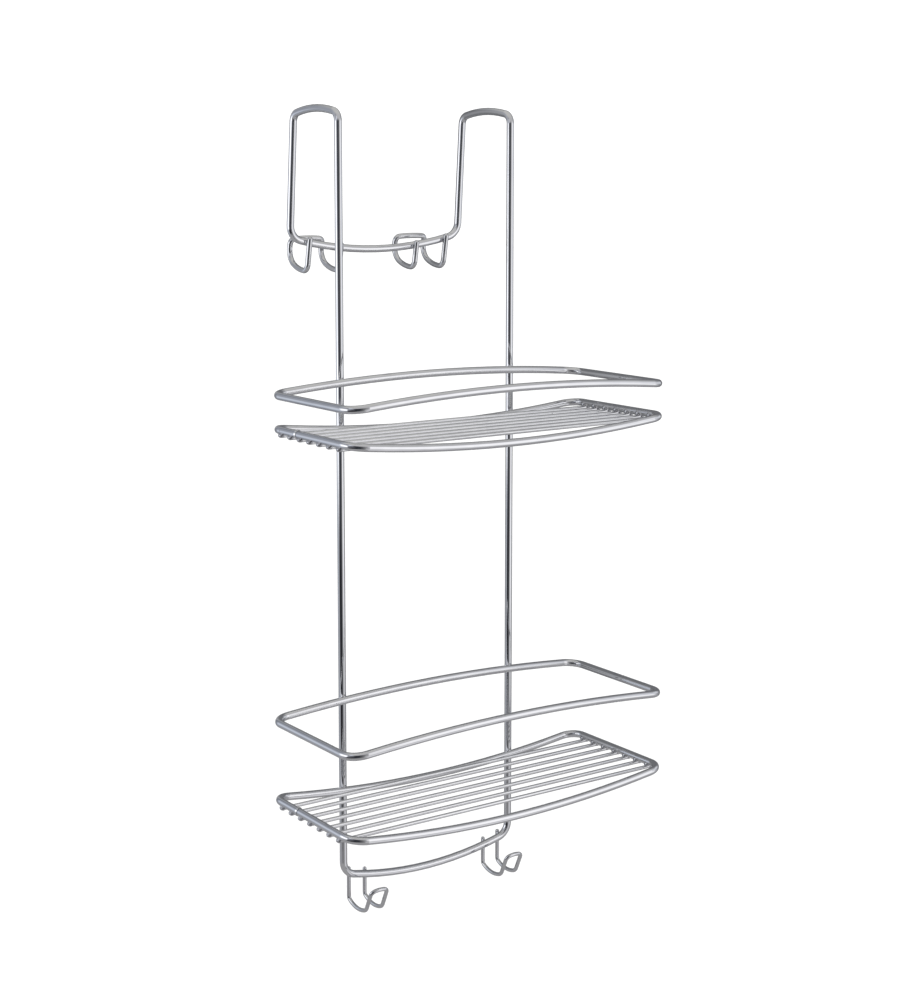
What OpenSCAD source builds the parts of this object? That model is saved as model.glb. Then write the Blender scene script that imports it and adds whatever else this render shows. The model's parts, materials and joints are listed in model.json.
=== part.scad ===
// Two-tier wire caddy that hangs over a shower screen or door.
// Every piece is bent or straight round wire, and every joint is a cross weld.
//
// Frame: millimetres. The origin is under the crown of the hanging bridges,
// where the caddy rests on the screen's top edge. X runs along the shelves,
// -Y is the user's side, +Y is behind the screen, and +Z is up.

/* [Wire] */
// Diameter of the frame, guard rail and shelf rim wire
main_wire_d = 6; // [4:0.5:8]
// Diameter of the straight shelf floor wires
floor_wire_d = 3; // [2:0.25:4]
// Diameter of the rear hook wire
rear_hook_wire_d = 4.5; // [3:0.25:5]
// Diameter of the lower hook wire
lower_hook_wire_d = 3.25; // [2:0.25:4]
// How far the frame, a ring and a hook sink into each other at a weld
weld_set = 0.2; // [0.1:0.05:0.4]
// How far a floor wire sinks into the side bars at a weld
floor_weld_set = 0.8; // [0.2:0.1:1]

/* [Hanging frame] */
// Distance between the two uprights, centre to centre
upright_spacing = 162.5; // [140:0.5:200]
// From the lower shelf's side bars down to the middle of the lower crossbar
lower_crossbar_below = 88.5; // [60:0.5:140]
// From the screen's top edge down to the middle of the rear crossbar
rear_crossbar_drop = 109; // [80:1:160]
// Bend radius where an upright or a leg turns into its crossbar
frame_corner_r = 12.5; // [10:0.5:20]
// Radius of the downward bow of both crossbars
crossbar_bow_r = 312; // [250:1:500]
// Bend radius at the front and the rear of each hanging bridge
bridge_corner_r = 8; // [6:0.5:14]
// Radius of the upward bow of each hanging bridge
bridge_bow_r = 138; // [110:1:220]
// Length of each bridge's bowed run, measured straight
bridge_run = 55; // [40:0.5:70]
// How far the rear legs lean away from the screen, in degrees
rear_leg_splay = 4.4; // [0:0.1:8]

/* [Shelves and guard rails] */
// Width of the upper shelf and its guard rail, side bar to side bar, centres
upper_ring_width = 289; // [260:1:340]
// Width of the lower shelf and its guard rail, side bar to side bar, centres
lower_ring_width = 294; // [260:1:340]
// Depth of each ring from back bar to front bar, centre to centre
ring_depth = 115; // [90:1:140]
// Bend radius of the ring corners
ring_corner_r = 13; // [9:0.5:20]
// How far the long bars of a guard rail rise above its side bars
guard_crown = 7; // [2:0.5:12]
// How far the long bars of the upper shelf rim hang below its side bars
upper_shelf_sag = 8.5; // [2:0.5:14]
// How far the long bars of the lower shelf rim hang below its side bars
lower_shelf_sag = 10.5; // [2:0.5:14]
// From the screen's top edge down to the upper shelf's side bars
upper_shelf_drop = 237; // [180:1:280]
// From the upper shelf's side bars up to its guard rail's side bars
upper_guard_height = 25.5; // [24:0.5:80]
// From the upper shelf's side bars down to the lower shelf's side bars
shelf_pitch = 287; // [240:0.5:320]
// From the lower shelf's side bars up to its guard rail's side bars
lower_guard_height = 61.5; // [30:0.5:90]

/* [Shelf floor] */
// From a rim's long bar to the nearest floor wire, centre to centre
floor_end_gap = 16; // [10:0.5:22]
// How far each floor wire's rounded end runs past the middle of the side bar
floor_wire_overrun = 2; // [0:0.25:3]

/* [Rear hooks] */
// From an upright's centre line in to the middle of its rear hook
rear_hook_inset = 30; // [20:0.5:40]
// Distance between the two sides of a rear hook
rear_hook_width = 29.4; // [18:0.1:36]
// Straight run of a rear hook's legs below the middle of the crossbar
rear_hook_leg = 10; // [4:0.1:20]
// Tight bend radius at the foot of a rear hook's legs
rear_hook_foot_r = 6.6; // [5:0.2:12]
// Turn of that tight bend, in degrees
rear_hook_foot_turn = 82; // [70:1:100]
// Radius of the slow bend along the bottom of a rear hook
rear_hook_floor_r = 40; // [20:1:150]
// Turn of that slow bend, in degrees
rear_hook_floor_turn = 24; // [5:1:30]
// Wide bend radius at the back of a rear hook
rear_hook_back_r = 13; // [8:0.1:20]
// Turn of that wide bend, in degrees
rear_hook_back_turn = 85; // [45:1:95]
// Straight run up to a rear hook's closed end
rear_hook_rise = 0.5; // [0.5:0.5:16]
// Corner radius at a rear hook's closed end
rear_hook_end_r = 4; // [3.5:0.25:9]
// Slope of a rear hook's bowed end beside its corners, in degrees
rear_hook_end_slope = 4; // [3:1:20]
// How far a rear hook leans away from the screen, in degrees
rear_hook_tilt = 10.5; // [4:0.5:14]
// How far a rear hook's rounded tips stand above the crossbar wire
rear_hook_tip = 2.4; // [0.5:0.1:5]

/* [Lower hooks] */
// From an upright's centre line in to the middle of its lower hook
lower_hook_inset = 15; // [12:0.5:40]
// Distance between the two sides of a lower hook
lower_hook_width = 14.9; // [10:0.1:24]
// Straight run of a lower hook's legs below the middle of the crossbar
lower_hook_leg = 11; // [4:0.1:20]
// Tight bend radius at the foot of a lower hook's legs
lower_hook_foot_r = 3.3; // [2.5:0.1:8]
// Turn of that tight bend, in degrees
lower_hook_foot_turn = 62; // [40:1:90]
// Radius of the slow bend along the bottom of a lower hook
lower_hook_floor_r = 26.4; // [14:0.2:50]
// Turn of that slow bend, in degrees
lower_hook_floor_turn = 48; // [20:1:60]
// Bend radius at the front of a lower hook
lower_hook_front_r = 7.1; // [3:0.1:14]
// Turn of that bend, in degrees
lower_hook_front_turn = 45; // [30:1:70]
// Straight run up to a lower hook's closed end
lower_hook_rise = 12.7; // [5:0.1:20]
// Corner radius at a lower hook's closed end
lower_hook_end_r = 4; // [3:0.1:6]
// Slope of a lower hook's bowed end beside its corners, in degrees
lower_hook_end_slope = 15; // [3:1:30]
// How far a lower hook's rounded tips stand above the crossbar wire
lower_hook_tip = 1.5; // [0.5:0.1:6]

/* [Hidden] */
$fn = 64;
// a long shallow bow is drawn with more steps than a tight bend
bow_min_r = 100;
bow_fn = 360;

// joints between the pieces of one wire
joint_swell = 0.01;
joint_gap = 0.04;

// heights of the rings' side bars and of the lower crossbar
upper_guard_drop = upper_shelf_drop - upper_guard_height;
lower_shelf_drop = upper_shelf_drop + shelf_pitch;
lower_guard_drop = lower_shelf_drop - lower_guard_height;
lower_crossbar_drop = lower_shelf_drop + lower_crossbar_below;

// frame: half spacing, and where the crossbar bow hands over to its corners
half_spacing = upright_spacing / 2;
bow_turn = asin((half_spacing - frame_corner_r)
                / (crossbar_bow_r - frame_corner_r));
bow_end_x = crossbar_bow_r * sin(bow_turn);
bow_end_rise = crossbar_bow_r * (1 - cos(bow_turn));
corner_turn = 90 - bow_turn;
corner_rise = bow_end_rise + frame_corner_r * cos(bow_turn);

// bridge: slope where its bow meets the two bends, and its parts' heights
bridge_slope = asin(bridge_run / 2 / bridge_bow_r);
bridge_crown = bridge_bow_r * (1 - cos(bridge_slope));
front_bend_rise = bridge_corner_r * cos(bridge_slope);
upright_y = -bridge_run / 2 - bridge_corner_r * (1 - sin(bridge_slope));
crown_z = main_wire_d / 2;
upright_top_z = crown_z - bridge_crown - front_bend_rise;
upright_length = lower_crossbar_drop + upright_top_z - corner_rise;

// rear leg: where the rear bend hands over to the straight leg
rear_turn = 90 - bridge_slope - rear_leg_splay;
leg_top_y = bridge_run / 2 + bridge_corner_r
            * (cos(rear_leg_splay) - sin(bridge_slope));
leg_top_z = crown_z - bridge_crown - bridge_corner_r
            * (cos(bridge_slope) - sin(rear_leg_splay));
leg_reach = (rear_crossbar_drop + leg_top_z) / cos(rear_leg_splay);
leg_length = leg_reach - corner_rise;
rear_bar_y = leg_top_y + leg_reach * sin(rear_leg_splay);

// rings: their middle
ring_y = upright_y - main_wire_d + weld_set - ring_depth / 2;

// shelf floor
floor_wire_count = 7;
floor_pitch = (ring_depth - 2 * floor_end_gap) / (floor_wire_count - 1);
floor_below = (main_wire_d + floor_wire_d) / 2 - floor_weld_set;

// hooks
rear_hook_x = half_spacing - rear_hook_inset;
lower_hook_x = half_spacing - lower_hook_inset;
rear_hook_offset = (main_wire_d + rear_hook_wire_d) / 2 - weld_set;
lower_hook_offset = (main_wire_d + lower_hook_wire_d) / 2 - weld_set;

// height of a bowed crossbar's centre line above its middle, x from the middle
function bar_rise(x) = x < bow_end_x
    ? crossbar_bow_r - sqrt(crossbar_bow_r * crossbar_bow_r - x * x)
    : bow_end_rise + frame_corner_r * (cos(bow_turn)
      - cos(asin(min(1, sin(bow_turn) + (x - bow_end_x) / frame_corner_r))));

// a rear hook leans more than the plane of the rear crossbar's bow, so it
// sits a little nearer and turns a little, and both its legs touch the bar
rear_hook_lean = rear_hook_tilt - rear_leg_splay;
rear_hook_near = bar_rise(rear_hook_x - rear_hook_width / 2)
                 * sin(rear_hook_lean);
rear_hook_far = bar_rise(rear_hook_x + rear_hook_width / 2)
                * sin(rear_hook_lean);
rear_hook_turn = atan((rear_hook_far - rear_hook_near) / rear_hook_width);

// ---- wire pieces: each starts at the origin and heads along +Z ----

// A ball a hair wider than the wire stands where two pieces meet, and the
// second piece starts just inside it, so that a wire's pieces are one solid.

// straight wire, with what follows it at its far end
module straight(d, len, late = joint_gap) {
    translate([0, 0, late]) cylinder(d = d, h = len - late);
    if ($children > 0) {
        translate([0, 0, len]) {
            sphere(d = d + 2 * joint_swell);
            children();
        }
    }
}

// wire that bends towards +X, with what follows it at its far end
module bend(d, r, turn, late = joint_gap) {
    late_turn = asin(late / r);
    translate([r, 0, 0])
        rotate([90, late_turn, 180])
            rotate_extrude(angle = turn - late_turn,
                           $fn = r < bow_min_r ? $fn : bow_fn)
                translate([r, 0]) circle(d = d);
    if ($children > 0) {
        translate([r * (1 - cos(turn)), 0, r * sin(turn)])
            rotate([0, turn, 0]) {
                sphere(d = d + 2 * joint_swell);
                children();
            }
    }
}

// turns the direction in which the next bend goes
module roll(angle) {
    rotate([0, 0, angle]) children();
}

// ends a wire: the last piece's ball closes a loop or rounds a free tip
module wire_end() { }

// the ball that rounds the tip where a wire starts
module wire_start(d) {
    sphere(d = d + 2 * joint_swell);
}

// ---- hanging frame: one closed loop of wire, bent in order round the loop ----

module crossbar() {
    bend(main_wire_d, frame_corner_r, corner_turn)
        bend(main_wire_d, crossbar_bow_r, 2 * bow_turn)
        bend(main_wire_d, frame_corner_r, corner_turn)
        children();
}

module hanging_frame() {
    color([0.74, 0.75, 0.77])
        translate([half_spacing, upright_y, upright_top_z - upright_length])
            roll(90)
            straight(main_wire_d, upright_length)
            bend(main_wire_d, bridge_corner_r, 90 - bridge_slope)
            bend(main_wire_d, bridge_bow_r, 2 * bridge_slope)
            bend(main_wire_d, bridge_corner_r, rear_turn)
            straight(main_wire_d, leg_length)
            roll(90)
            crossbar()
            straight(main_wire_d, leg_length)
            roll(-90)
            bend(main_wire_d, bridge_corner_r, rear_turn)
            bend(main_wire_d, bridge_bow_r, 2 * bridge_slope)
            bend(main_wire_d, bridge_corner_r, 90 - bridge_slope)
            straight(main_wire_d, upright_length)
            roll(90)
            crossbar()
            wire_end();
}

// ---- rings: guard rails bow up, shelf rims bow down ----

module ring_end(bow_r, turn) {
    bend(main_wire_d, ring_corner_r, 90)
        roll(90) bend(main_wire_d, bow_r, 2 * turn)
        roll(-90) bend(main_wire_d, ring_corner_r, 90)
        children();
}

module ring(width, rise) {
    turn = 2 * atan(rise / (width / 2 + ring_corner_r));
    bow_r = (width / 2 - ring_corner_r * cos(turn)) / sin(turn);
    side = ring_depth - 2 * ring_corner_r;
    translate([-width / 2, -side / 2, 0])
        rotate([-90, 0, 0]) roll(-turn)
            straight(main_wire_d, side)
            ring_end(bow_r, turn)
            straight(main_wire_d, side)
            ring_end(bow_r, turn)
            wire_end();
}

module guard_rail(width, drop) {
    color([0.70, 0.72, 0.75])
        translate([0, ring_y, -drop]) ring(width, guard_crown);
}

module shelf_rim(width, drop, sag) {
    color([0.66, 0.68, 0.72])
        translate([0, ring_y, -drop]) mirror([0, 0, 1]) ring(width, sag);
}

module upper_guard_rail() {
    guard_rail(upper_ring_width, upper_guard_drop);
}

module lower_guard_rail() {
    guard_rail(lower_ring_width, lower_guard_drop);
}

module upper_shelf_rim() {
    shelf_rim(upper_ring_width, upper_shelf_drop, upper_shelf_sag);
}

module lower_shelf_rim() {
    shelf_rim(lower_ring_width, lower_shelf_drop, lower_shelf_sag);
}

// ---- floor wires: straight, welded under the side bars, 1 is at the back ----

module floor_wire(width, drop, place) {
    run = width + 2 * floor_wire_overrun - floor_wire_d;
    color([0.80, 0.81, 0.83])
        translate([-run / 2,
                   ring_y + ring_depth / 2 - floor_end_gap
                   - (place - 1) * floor_pitch,
                   -drop - floor_below])
            rotate([0, 90, 0]) {
                wire_start(floor_wire_d);
                straight(floor_wire_d, run) wire_end();
            }
}

module upper_floor_wire(place) {
    floor_wire(upper_ring_width, upper_shelf_drop, place);
}

module lower_floor_wire(place) {
    floor_wire(lower_ring_width, lower_shelf_drop, place);
}

module upper_floor_wire_1() { upper_floor_wire(1); }
module upper_floor_wire_2() { upper_floor_wire(2); }
module upper_floor_wire_3() { upper_floor_wire(3); }
module upper_floor_wire_4() { upper_floor_wire(4); }
module upper_floor_wire_5() { upper_floor_wire(5); }
module upper_floor_wire_6() { upper_floor_wire(6); }
module upper_floor_wire_7() { upper_floor_wire(7); }
module lower_floor_wire_1() { lower_floor_wire(1); }
module lower_floor_wire_2() { lower_floor_wire(2); }
module lower_floor_wire_3() { lower_floor_wire(3); }
module lower_floor_wire_4() { lower_floor_wire(4); }
module lower_floor_wire_5() { lower_floor_wire(5); }
module lower_floor_wire_6() { lower_floor_wire(6); }
module lower_floor_wire_7() { lower_floor_wire(7); }

// ---- hooks: one wire, down a leg, under, up and across the closed end, ----
// ---- and back along the other side; each hook opens towards +Y         ----

// x is the middle of the hook, and tip how far its ends clear the crossbar
module hook(d, x, width, offset, tip, leg, foot_r, foot_turn, floor_r,
            floor_turn, back_r, back_turn, rise, end_r, end_slope) {
    left_x = x - width / 2;
    above = main_wire_d / 2 + tip - d / 2;
    left_top = bar_rise(abs(left_x)) + above;
    right_top = bar_rise(abs(left_x + width)) + above;
    end_bow_r = (width / 2 - end_r * (1 - sin(end_slope))) / sin(end_slope);
    translate([left_x, -offset, left_top])
        rotate([180, 0, 0]) {
            wire_start(d);
            roll(-90)
                straight(d, left_top + leg)
                bend(d, foot_r, foot_turn)
                bend(d, floor_r, floor_turn)
                bend(d, back_r, back_turn)
                straight(d, rise)
                roll(90)
                bend(d, end_r, 90 - end_slope)
                bend(d, end_bow_r, 2 * end_slope)
                bend(d, end_r, 90 - end_slope)
                roll(-90)
                straight(d, rise)
                bend(d, back_r, back_turn)
                bend(d, floor_r, floor_turn)
                bend(d, foot_r, foot_turn)
                straight(d, leg + right_top)
                wire_end();
        }
}

// side is -1 for the left rear hook and 1 for the right one
module rear_hook(side) {
    x = side * rear_hook_x;
    rotate([rear_hook_lean, 0, 0])
        translate([x, (rear_hook_near + rear_hook_far) / 2, 0])
            rotate([0, 0, side * rear_hook_turn])
                translate([-x, 0, 0])
                    hook(rear_hook_wire_d, x, rear_hook_width,
                         rear_hook_offset, rear_hook_tip, rear_hook_leg,
                         rear_hook_foot_r, rear_hook_foot_turn,
                         rear_hook_floor_r, rear_hook_floor_turn,
                         rear_hook_back_r, rear_hook_back_turn,
                         rear_hook_rise, rear_hook_end_r,
                         rear_hook_end_slope);
}

module lower_hook(x) {
    hook(lower_hook_wire_d, x, lower_hook_width, lower_hook_offset,
         lower_hook_tip, lower_hook_leg, lower_hook_foot_r,
         lower_hook_foot_turn, lower_hook_floor_r, lower_hook_floor_turn,
         lower_hook_front_r, lower_hook_front_turn, lower_hook_rise,
         lower_hook_end_r, lower_hook_end_slope);
}

module at_rear_bar() {
    color([0.62, 0.64, 0.68])
        translate([0, rear_bar_y, -rear_crossbar_drop])
            rotate([rear_leg_splay, 0, 0]) children();
}

module at_lower_bar() {
    color([0.62, 0.64, 0.68])
        translate([0, upright_y, -lower_crossbar_drop])
            mirror([0, 1, 0]) children();
}

module rear_hook_left() { at_rear_bar() rear_hook(-1); }
module rear_hook_right() { at_rear_bar() rear_hook(1); }
module lower_hook_left() { at_lower_bar() lower_hook(-lower_hook_x); }
module lower_hook_right() { at_lower_bar() lower_hook(lower_hook_x); }

hanging_frame();
upper_guard_rail();
upper_shelf_rim();
lower_guard_rail();
lower_shelf_rim();
upper_floor_wire_1();
upper_floor_wire_2();
upper_floor_wire_3();
upper_floor_wire_4();
upper_floor_wire_5();
upper_floor_wire_6();
upper_floor_wire_7();
lower_floor_wire_1();
lower_floor_wire_2();
lower_floor_wire_3();
lower_floor_wire_4();
lower_floor_wire_5();
lower_floor_wire_6();
lower_floor_wire_7();
rear_hook_left();
rear_hook_right();
lower_hook_left();
lower_hook_right();
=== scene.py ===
import json
import math

import bmesh
import bpy
from mathutils import Matrix, Vector


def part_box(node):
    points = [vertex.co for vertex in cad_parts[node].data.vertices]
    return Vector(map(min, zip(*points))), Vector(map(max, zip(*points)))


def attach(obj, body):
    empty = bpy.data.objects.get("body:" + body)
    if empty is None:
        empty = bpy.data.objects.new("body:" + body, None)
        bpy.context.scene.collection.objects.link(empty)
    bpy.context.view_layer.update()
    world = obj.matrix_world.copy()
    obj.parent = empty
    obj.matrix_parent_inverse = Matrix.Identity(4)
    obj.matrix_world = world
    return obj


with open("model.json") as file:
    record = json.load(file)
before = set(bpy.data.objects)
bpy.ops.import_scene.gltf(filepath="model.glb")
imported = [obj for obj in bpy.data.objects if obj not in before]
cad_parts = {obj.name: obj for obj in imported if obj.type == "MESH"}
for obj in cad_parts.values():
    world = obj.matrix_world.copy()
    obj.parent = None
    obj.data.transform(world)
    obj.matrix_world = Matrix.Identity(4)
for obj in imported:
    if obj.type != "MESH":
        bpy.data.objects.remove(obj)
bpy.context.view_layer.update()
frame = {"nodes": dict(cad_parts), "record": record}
nodes = frame["nodes"]

# ---- camera ----

CAMERA_AT = Vector((-0.8124, -1.2399, -0.0414))
CAMERA_YAW, CAMERA_PITCH = 34.6788, -7.2577
LENS_MM, SENSOR_MM = 66.164, 36
SHIFT_Y = -0.10
CLIP_START, CLIP_END = 0.05, 50


def make_camera():
    yaw, pitch = math.radians(CAMERA_YAW), math.radians(CAMERA_PITCH)
    forward = Vector((math.sin(yaw) * math.cos(pitch), math.cos(yaw) * math.cos(pitch), math.sin(pitch)))
    camera = bpy.data.objects.new("camera", bpy.data.cameras.new("camera"))
    camera.data.lens = LENS_MM
    camera.data.sensor_width = SENSOR_MM
    camera.data.shift_y = SHIFT_Y
    camera.data.clip_start, camera.data.clip_end = CLIP_START, CLIP_END
    camera.location = CAMERA_AT
    camera.rotation_euler = forward.to_track_quat("-Z", "Y").to_euler()
    bpy.context.scene.collection.objects.link(camera)
    bpy.context.scene.camera = camera


# ---- small helpers for node trees and meshes ----

def wire_up(tree, node, **sources):
    """Links outputs to a node's inputs by number (i0, i1) or name, or sets plain values there."""
    for key, value in sources.items():
        socket = node.inputs[int(key[1:])] if key[0] == "i" and key[1:].isdigit() else node.inputs[key]
        if isinstance(value, bpy.types.NodeSocket):
            tree.links.new(value, socket)
        else:
            socket.default_value = value
    return node.outputs[0]


def math_node(tree, operation, *values):
    node = tree.nodes.new("ShaderNodeMath")
    node.operation = operation
    return wire_up(tree, node, **{f"i{i}": v for i, v in enumerate(values)})


def smooth_step(tree, value, low, high, to_low=0.0, to_high=1.0):
    node = tree.nodes.new("ShaderNodeMapRange")
    node.interpolation_type = "SMOOTHSTEP"
    return wire_up(tree, node, i0=value, i1=low, i2=high, i3=to_low, i4=to_high)


def mix_colours(tree, factor, under, over):
    """under is an output and over a plain colour, which covers it where the factor is 1."""
    mix = tree.nodes.new("ShaderNodeMix")
    mix.data_type = "RGBA"
    tree.links.new(factor, mix.inputs["Factor"])
    tree.links.new(under, mix.inputs[6])
    mix.inputs[7].default_value = (*over, 1)
    return mix.outputs[2]


def glow_material(name, build_colour):
    """Light that the plating reflects. build_colour(tree) returns the output with its colour."""
    material = bpy.data.materials.new(name)
    material.use_nodes = True
    material.cycles.emission_sampling = "NONE"
    tree = material.node_tree
    tree.nodes.clear()
    glow = tree.nodes.new("ShaderNodeEmission")
    tree.links.new(build_colour(tree), glow.inputs["Color"])
    tree.links.new(glow.outputs[0], tree.nodes.new("ShaderNodeOutputMaterial").inputs["Surface"])
    return material


def only_in_reflections(obj):
    obj.visible_camera = obj.visible_diffuse = obj.visible_shadow = obj.visible_transmission = False


def ramp(tree, factor, stops, interpolation="EASE"):
    node = tree.nodes.new("ShaderNodeValToRGB")
    node.color_ramp.interpolation = interpolation
    elements = node.color_ramp.elements
    while len(elements) > 1:
        elements.remove(elements[-1])
    for i, (position, colour) in enumerate(stops):
        element = elements[0] if i == 0 else elements.new(position)
        element.position = position
        element.color = (*colour, 1)
    tree.links.new(factor, node.inputs[0])
    return node.outputs[0]


def mesh_object(name, verts, faces, smooth=True):
    mesh = bpy.data.meshes.new(name)
    mesh.from_pydata([tuple(v) for v in verts], [], faces)
    mesh.update()
    if smooth:
        mesh.polygons.foreach_set("use_smooth", [True] * len(mesh.polygons))
    obj = bpy.data.objects.new(name, mesh)
    bpy.context.scene.collection.objects.link(obj)
    return obj


# ---- surroundings: a pale floor under a light tent ----

FLOOR_SIZE, FLOOR_Z = 40.0, -0.75
FLOOR_COLOUR, FLOOR_ROUGHNESS = (0.95, 0.95, 0.95, 1), 0.9
WORLD_STRENGTH = 1.18
TENT_CENTRE = Vector((0, -0.06, -0.30))
TENT_RADIUS = 1.0

# The tent's cloth is a plain grey that depends on the compass: degrees round
# from the user's side (0) to the user's right (+90) and the far side (180).
WALLS = [
    (-180, 0.18, 0.19, 0.21), (-162, 0.25, 0.27, 0.31), (-148, 0.35, 0.37, 0.42), (-115, 0.43, 0.45, 0.49),
    (-85, 0.28, 0.29, 0.32), (-60, 0.10, 0.105, 0.12), (-45, 0.04, 0.044, 0.052), (-31, 0.04, 0.044, 0.052),
    (-20, 0.10, 0.103, 0.11), (-9, 0.20, 0.202, 0.21), (3, 0.33, 0.335, 0.345), (14, 0.45, 0.45, 0.47),
    (30, 0.50, 0.50, 0.52), (60, 0.50, 0.51, 0.54), (90, 0.28, 0.285, 0.30), (115, 0.17, 0.173, 0.185),
    (140, 0.17, 0.17, 0.185), (180, 0.18, 0.19, 0.21),
]

# Above and below, the cloth fades to these greys between two heights in degrees.
CEILING, CEILING_FROM, CEILING_FULL = (0.60, 0.60, 0.585), 34, 66
GROUND, GROUND_FROM, GROUND_FULL = (0.36, 0.36, 0.37), -22, -46

# Soft lamps in the cloth: compass, height, half width, half height, soft edge
# (all in degrees) and brightness in red, green and blue.
LAMPS = [
    ("left lamp", -112, 8, 17, 5, 15, (0.98, 1.02, 1.12)),
    ("left lamp, high edge", -72, 34, 8, 3, 10, (0.85, 0.89, 1.0)),
    ("far left lamp", -137, -4, 5, 4, 16, (0.64, 0.69, 0.79)),
    ("canopy over the camera", -22, 50, 40, 12, 12, (0.55, 0.55, 0.56)),
    ("left lamp, core", -105, 6, 15, 10, 9, (1.42, 1.44, 1.50)),
    ("low front card", 14, -27, 9, 9, 14, (0.52, 0.52, 0.54)),
    ("right front lamp", 36, 5, 9, 16, 20, (1.16, 1.16, 1.19)),
    ("right lamp", 66, 10, 18, 6, 14, (0.74, 0.76, 0.81)),
    ("low right card", 28, -44, 10, 7, 9, (0.80, 0.80, 0.84)),
    ("dark gap, front left", -64, -22, 18, 6, 9, (0.02, 0.02, 0.024)),
]

# A grey card behind the caddy, seen only in the plating, paler at its left end.
CARD_LEFT, CARD_RIGHT, CARD_Y = -0.137, 0.42, 0.21
CARD_BOTTOM, CARD_TOP = -0.74, 0.12
CARD_PALE, CARD_DARK = (0.43, 0.44, 0.465), (0.18, 0.185, 0.195)
CARD_FADE_FROM, CARD_FADE_TO = -0.16, 0.03


def tent_colour(tree):
    place = tree.nodes.new("ShaderNodeTexCoord").outputs["Object"]
    centred = tree.nodes.new("ShaderNodeVectorMath")
    centred.operation = "SUBTRACT"
    tree.links.new(place, centred.inputs[0])
    centred.inputs[1].default_value = TENT_CENTRE
    split = tree.nodes.new("ShaderNodeSeparateXYZ")
    tree.links.new(centred.outputs[0], split.inputs[0])
    x, y, z = split.outputs
    turn = math_node(tree, "ARCTAN2", x, math_node(tree, "MULTIPLY", y, -1.0))
    compass = math_node(tree, "MULTIPLY", turn, 180 / math.pi)
    height = math_node(tree, "MULTIPLY", math_node(tree, "ARCSINE", math_node(tree, "DIVIDE", z, TENT_RADIUS)),
                       180 / math.pi)
    share = math_node(tree, "MULTIPLY_ADD", compass, 1 / 360, 0.5)
    colour = ramp(tree, share, [((at + 180) / 360, grey) for at, *grey in WALLS])
    colour = mix_colours(tree, smooth_step(tree, height, CEILING_FROM, CEILING_FULL), colour, CEILING)
    colour = mix_colours(tree, smooth_step(tree, height, GROUND_FROM, GROUND_FULL), colour, GROUND)
    for _, at, up, half_width, half_height, soft, bright in LAMPS:
        off = math_node(tree, "WRAP", math_node(tree, "SUBTRACT", compass, float(at)), 180.0, -180.0)
        across = smooth_step(tree, math_node(tree, "ABSOLUTE", off), half_width, half_width + soft, 1, 0)
        rise = math_node(tree, "ABSOLUTE", math_node(tree, "SUBTRACT", height, float(up)))
        along = smooth_step(tree, rise, half_height, half_height + soft, 1, 0)
        colour = mix_colours(tree, math_node(tree, "MULTIPLY", across, along), colour, bright)
    return colour


def make_tent():
    shell = bmesh.new()
    bmesh.ops.create_uvsphere(shell, u_segments=96, v_segments=48, radius=TENT_RADIUS,
                              matrix=Matrix.Translation(TENT_CENTRE))
    mesh = bpy.data.meshes.new("light_tent")
    shell.to_mesh(mesh)
    shell.free()
    tent = bpy.data.objects.new("light_tent", mesh)
    bpy.context.scene.collection.objects.link(tent)
    mesh.materials.append(glow_material("tent cloth", tent_colour))
    only_in_reflections(tent)


def card_colour(tree):
    place = tree.nodes.new("ShaderNodeSeparateXYZ")
    tree.links.new(tree.nodes.new("ShaderNodeTexCoord").outputs["Object"], place.inputs[0])
    share = smooth_step(tree, place.outputs[0], CARD_FADE_FROM, CARD_FADE_TO)
    return ramp(tree, share, [(0, CARD_PALE), (1, CARD_DARK)], "LINEAR")


def make_card():
    corners = [(CARD_LEFT, CARD_Y, CARD_BOTTOM), (CARD_RIGHT, CARD_Y, CARD_BOTTOM),
               (CARD_RIGHT, CARD_Y, CARD_TOP), (CARD_LEFT, CARD_Y, CARD_TOP)]
    card = mesh_object("grey_card", corners, [(0, 1, 2, 3)], smooth=False)
    card.data.materials.append(glow_material("grey card", card_colour))
    only_in_reflections(card)


def make_floor():
    h = FLOOR_SIZE / 2
    floor = mesh_object("floor", [(-h, -h, FLOOR_Z), (h, -h, FLOOR_Z), (h, h, FLOOR_Z), (-h, h, FLOOR_Z)],
                        [(0, 1, 2, 3)], smooth=False)
    material = bpy.data.materials.new("pale floor")
    material.use_nodes = True
    shader = material.node_tree.nodes["Principled BSDF"]
    shader.inputs["Base Color"].default_value = FLOOR_COLOUR
    shader.inputs["Roughness"].default_value = FLOOR_ROUGHNESS
    floor.data.materials.append(material)
    floor.visible_glossy = False


def make_world():
    world = bpy.data.worlds.new("studio")
    bpy.context.scene.world = world
    world.use_nodes = True
    sky = world.node_tree.nodes["Background"]
    sky.inputs["Color"].default_value = (1, 1, 1, 1)
    sky.inputs["Strength"].default_value = WORLD_STRENGTH


# ---- finishes ----

# Pattern scales are in cells to the metre. A pit shows where a cell's middle,
# within the first of two distances, lies in a patch of the slow noise.
CLOUD_SCALE, GLOSS_SCALE, WAVE_SCALE, GRAIN_SCALE = 55, 140, 210, 1600
PIT_SCALE, PIT_PATCH_SCALE = 95, 23
PIT_EDGE, PIT_PATCH_EDGE = (0.03, 0.055), (0.60, 0.66)
PIT_COLOUR, PIT_ROUGHER = (0.16, 0.16, 0.17), 0.3
BUMP_STRENGTH, BUMP_HEIGHT = 0.35, 0.00006


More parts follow.
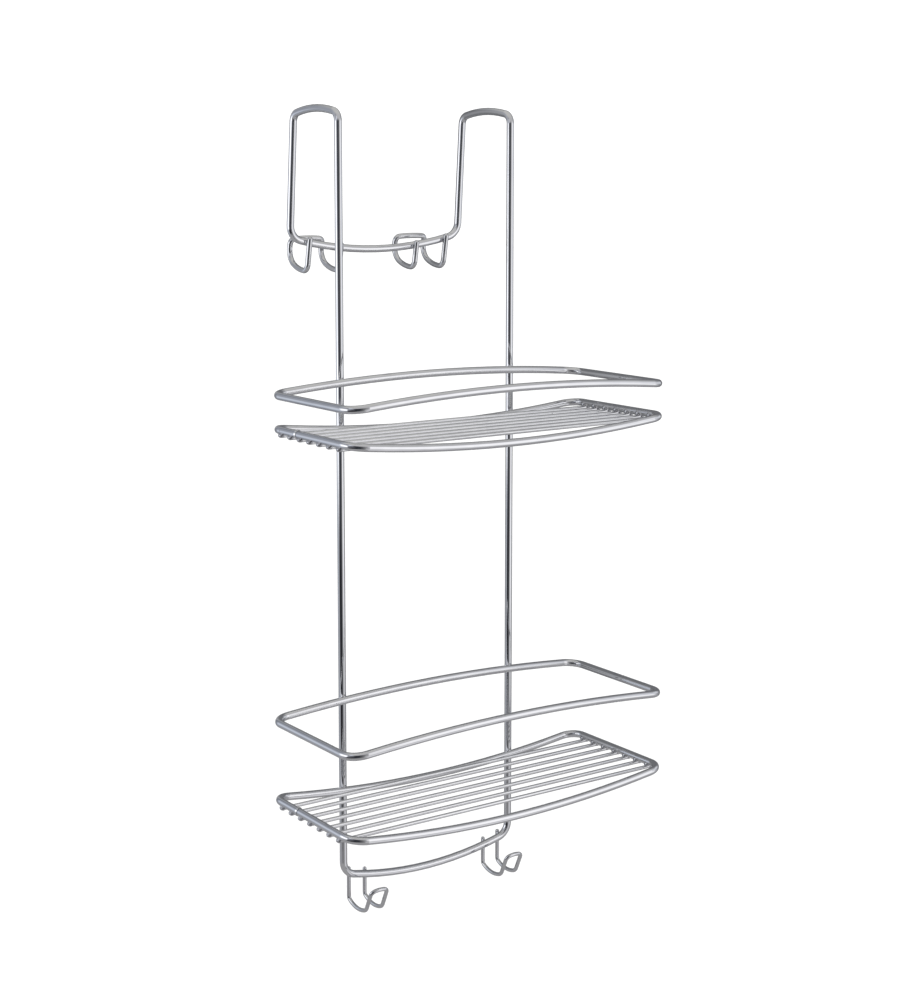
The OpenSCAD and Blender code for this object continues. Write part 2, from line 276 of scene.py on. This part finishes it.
def plated_steel(name, tint, shade, rough, grain):
    """Bright plating on drawn wire: faint tint and gloss changes, a soft waviness, and a few tiny pits."""
    material = bpy.data.materials.new(name)
    material.use_nodes = True
    tree = material.node_tree
    shader = tree.nodes["Principled BSDF"]
    shader.inputs["Metallic"].default_value = 1
    place = tree.nodes.new("ShaderNodeTexCoord").outputs["Object"]

    def noise(scale, detail, roughness=0.5):
        node = tree.nodes.new("ShaderNodeTexNoise")
        wire_up(tree, node, Vector=place, Scale=scale, Detail=detail, Roughness=roughness)
        return node.outputs["Fac"]

    cloud = smooth_step(tree, noise(CLOUD_SCALE, 3), 0.35, 0.65)
    pit_cells = tree.nodes.new("ShaderNodeTexVoronoi")
    wire_up(tree, pit_cells, Vector=place, Scale=PIT_SCALE)
    pit = math_node(tree, "MULTIPLY",
                    smooth_step(tree, pit_cells.outputs["Distance"], *PIT_EDGE, 1, 0),
                    smooth_step(tree, noise(PIT_PATCH_SCALE, 1), *PIT_PATCH_EDGE))
    tone = ramp(tree, cloud, [(0, shade), (1, tint)], "LINEAR")
    tree.links.new(mix_colours(tree, pit, tone, PIT_COLOUR), shader.inputs["Base Color"])
    gloss = smooth_step(tree, noise(GLOSS_SCALE, 4, 0.6), 0.3, 0.7, *rough)
    tree.links.new(math_node(tree, "MULTIPLY_ADD", pit, PIT_ROUGHER, gloss), shader.inputs["Roughness"])
    fine = math_node(tree, "MULTIPLY", noise(GRAIN_SCALE, 3), grain)
    waves = math_node(tree, "ADD", noise(WAVE_SCALE, 2), fine)
    bump = tree.nodes.new("ShaderNodeBump")
    wire_up(tree, bump, Strength=BUMP_STRENGTH, Distance=BUMP_HEIGHT, Height=waves)
    tree.links.new(bump.outputs[0], shader.inputs["Normal"])
    return material


# ---- weld nuggets and butt-weld beads, in millimetres ----

WIRE = 6  # the frame wire's diameter

# Places are measured from the side bar's centre line, or from the floor wire's
# for a height. A size is half the lump's extent in x, y and z.
INNER_INSET, INNER_DROP, INNER_SIZE = 3.2, {"upper": 1.0, "lower": 1.5}, (1.2, 2.2, 2.0)
OUTER_OUTSET, OUTER_LIFT, OUTER_SIZE = 1.3, 0.4, (2.3, 2.8, 1.9)
NUGGET_SEED = {"upper": 3, "lower": 8}

# A bead's outline: how far towards the user, and how far from the bar's middle.
BEAD_Y, BEAD_STEPS = -77.5, 48
BEAD_OUTLINE = [(0, 2.7), (0, 3.0), (-0.2, 3.52), (-1.9, 3.06), (-2.0, 2.7)]
# The ring of painted shade in front of the bead, just proud of the bar.
SHADE_RING_OUTLINE = [(-2.0, 2.7), (-2.0, 3.05), (-2.7, 3.05), (-2.7, 2.7)]


def nugget_tree():
    """Lumps of weld metal on points: each point's "size" stretches one small ball, noise makes it uneven."""
    tree = bpy.data.node_groups.new("weld nuggets", "GeometryNodeTree")
    face = tree.interface
    face.new_socket("Geometry", in_out="INPUT", socket_type="NodeSocketGeometry")
    for label, kind, value in (("Facets", "NodeSocketInt", 3), ("Lump height", "NodeSocketFloat", 0.07),
                               ("Lump scale", "NodeSocketFloat", 1.6), ("Seed", "NodeSocketInt", 5)):
        face.new_socket(label, in_out="INPUT", socket_type=kind).default_value = value
    face.new_socket("Finish", in_out="INPUT", socket_type="NodeSocketMaterial")
    face.new_socket("Geometry", in_out="OUTPUT", socket_type="NodeSocketGeometry")

    def add(kind, **settings):
        node = tree.nodes.new(kind)
        for key, value in settings.items():
            setattr(node, key, value)
        return node

    given, out = add("NodeGroupInput"), add("NodeGroupOutput")
    ball = add("GeometryNodeMeshIcoSphere")
    wire_up(tree, ball, Subdivisions=given.outputs["Facets"])
    lumps = add("ShaderNodeTexNoise", noise_dimensions="4D")
    place = add("GeometryNodeInputPosition")
    wire_up(tree, lumps, Vector=place.outputs[0], W=given.outputs["Seed"], Scale=given.outputs["Lump scale"],
            Detail=1.0)
    swell = add("ShaderNodeMath", operation="SUBTRACT")
    wire_up(tree, swell, i0=lumps.outputs[0], i1=0.5)
    height = add("ShaderNodeMath", operation="MULTIPLY")
    wire_up(tree, height, i0=swell.outputs[0], i1=given.outputs["Lump height"])
    push = add("ShaderNodeVectorMath", operation="SCALE")
    wire_up(tree, push, i0=place.outputs[0], Scale=height.outputs[0])
    uneven = add("GeometryNodeSetPosition")
    wire_up(tree, uneven, Geometry=ball.outputs["Mesh"], Offset=push.outputs[0])
    smooth = add("GeometryNodeSetShadeSmooth")
    wire_up(tree, smooth, Geometry=uneven.outputs[0])
    half_turns = add("FunctionNodeRandomValue", data_type="INT")
    picks = [socket for socket in half_turns.inputs if socket.enabled]
    picks[0].default_value, picks[1].default_value = 0, 1
    tree.links.new(given.outputs["Seed"], half_turns.inputs["Seed"])
    pick = next(socket for socket in half_turns.outputs if socket.enabled)
    spin = add("ShaderNodeMath", operation="MULTIPLY")
    wire_up(tree, spin, i0=pick, i1=math.pi)
    turn = add("ShaderNodeCombineXYZ")
    wire_up(tree, turn, Z=spin.outputs[0])
    size = add("GeometryNodeInputNamedAttribute", data_type="FLOAT_VECTOR")
    wire_up(tree, size, Name="size")
    lay = add("GeometryNodeInstanceOnPoints")
    wire_up(tree, lay, Points=given.outputs["Geometry"], Instance=smooth.outputs[0], Rotation=turn.outputs[0],
            Scale=size.outputs["Attribute"])
    real = add("GeometryNodeRealizeInstances")
    wire_up(tree, real, Geometry=lay.outputs[0])
    finish = add("GeometryNodeSetMaterial")
    wire_up(tree, finish, Geometry=real.outputs[0], Material=given.outputs["Finish"])
    tree.links.new(finish.outputs[0], out.inputs[0])
    return tree


def weld_nuggets(name, tree, finish, spots, seed):
    """spots: (place, size) pairs."""
    points = mesh_object(name + "_points", [[v / 1000 for v in place] for place, _ in spots], [], smooth=False)
    sizes = points.data.attributes.new("size", "FLOAT_VECTOR", "POINT")
    for i, (_, size) in enumerate(spots):
        sizes.data[i].vector = [v / 1000 for v in size]
    modifier = points.modifiers.new("weld nuggets", "NODES")
    modifier.node_group = tree
    sockets = {item.name: item.identifier for item in tree.interface.items_tree if item.in_out == "INPUT"}
    modifier[sockets["Seed"]] = seed
    modifier[sockets["Finish"]] = finish
    bpy.context.view_layer.update()
    seen = points.evaluated_get(bpy.context.evaluated_depsgraph_get())
    mesh = bpy.data.meshes.new_from_object(seen)
    mesh.name = name
    bpy.data.objects.remove(points)
    piece = bpy.data.objects.new(name, mesh)
    bpy.context.scene.collection.objects.link(piece)
    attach(piece, "root")


def butt_weld(name, plating, foot, x, y, z):
    """A bead round a side bar where the rim's two ends meet: a step, a slope towards the user, and a dark ring at
    its front edge, which is painted shade where the bead meets the bar.
    """
    for part, finish, outline in (("bead", plating, BEAD_OUTLINE), ("foot", foot, SHADE_RING_OUTLINE)):
        verts, faces, n = [], [], len(outline)
        for i in range(BEAD_STEPS):
            turn = 2 * math.pi * i / BEAD_STEPS
            verts += [((x + r * math.cos(turn)) / 1000, (y + along) / 1000, (z + r * math.sin(turn)) / 1000)
                      for along, r in outline]
            a, b = i * n, (i + 1) % BEAD_STEPS * n
            faces += [(a + k, a + (k + 1) % n, b + (k + 1) % n, b + k) for k in range(n)]
        piece = mesh_object(f"{name}_{part}", verts, faces, smooth=False)
        shell = bmesh.new()
        shell.from_mesh(piece.data)
        bmesh.ops.recalc_face_normals(shell, faces=shell.faces)
        shell.to_mesh(piece.data)
        shell.free()
        piece.data.materials.append(finish)
        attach(piece, "root")


def centre(node):
    """The middle of a CAD node's box, in millimetres."""
    low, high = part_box(node)
    return [(a + b) * 500 for a, b in zip(low, high)]


# ---- build ----

make_camera()
make_floor()
make_world()
make_tent()
make_card()
bpy.context.scene.view_settings.view_transform = "Standard"

# The two colours of each finish's cloudy tint, then its roughness from and to, and its grain.
finishes = {
    "main_wire": plated_steel("bright plated frame wire", (0.80, 0.80, 0.81), (0.76, 0.76, 0.775),
                              (0.035, 0.075), 0.05),
    "floor_wire": plated_steel("bright plated floor wire", (0.82, 0.82, 0.825), (0.77, 0.77, 0.78),
                               (0.05, 0.09), 0.06),
    "hook_wire": plated_steel("bright plated hook wire", (0.78, 0.78, 0.79), (0.73, 0.73, 0.74),
                              (0.06, 0.11), 0.06),
}
# The inner weld lumps are real. Their tint, darker than the plated wire, is painted shade.
nugget = plated_steel("inner weld lumps, painted darker", (0.60, 0.60, 0.62), (0.50, 0.50, 0.52), (0.03, 0.06), 0.03)
# One weld flow on both shelves in two tints: painted shade darkens the upper shelf's copy, and painted light makes
# the lower shelf's copy paler. The lower one is also rougher.
flow = {
    "upper": plated_steel("weld flow painted darker", (0.62, 0.62, 0.64), (0.52, 0.52, 0.54), (0.30, 0.42), 0.1),
    "lower": plated_steel("dull weld flow painted paler", (0.76, 0.76, 0.78), (0.68, 0.68, 0.70), (0.52, 0.64), 0.1),
}
# Painted shade: a near-black finish for the ring in front of each bead, standing in for the shade where the bead
# meets the bar.
foot = plated_steel("bead foot", (0.26, 0.26, 0.27), (0.18, 0.18, 0.19), (0.30, 0.45), 0.3)

slot_of = {part["node"]: part["material_slot"] for part in frame["record"]["subparts"]}
for name, node in nodes.items():
    node.data.materials.clear()
    node.data.materials.append(finishes[slot_of[name]])

tree = nugget_tree()
for shelf in ("upper", "lower"):
    wires = [centre(f"{shelf}_floor_wire_{i}") for i in range(1, 8)]
    _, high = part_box(f"{shelf}_shelf_rim")
    bar_x, bar_z = high[0] * 1000 - WIRE / 2, high[2] * 1000 - WIRE / 2
    inner = [((side * (bar_x - INNER_INSET), y, bar_z - INNER_DROP[shelf]), INNER_SIZE)
             for _, y, _ in wires for side in (-1, 1)]
    outer = [((side * (bar_x + OUTER_OUTSET), y, z + OUTER_LIFT), OUTER_SIZE)
             for _, y, z in wires for side in (-1, 1)]
    seed = NUGGET_SEED[shelf]
    weld_nuggets(f"{shelf}_inner_welds", tree, nugget, inner, seed)
    weld_nuggets(f"{shelf}_outer_welds", tree, flow[shelf], outer, seed + 1)
    butt_weld(f"{shelf}_rim_butt_weld", finishes["main_wire"], foot, -bar_x, BEAD_Y, bar_z)
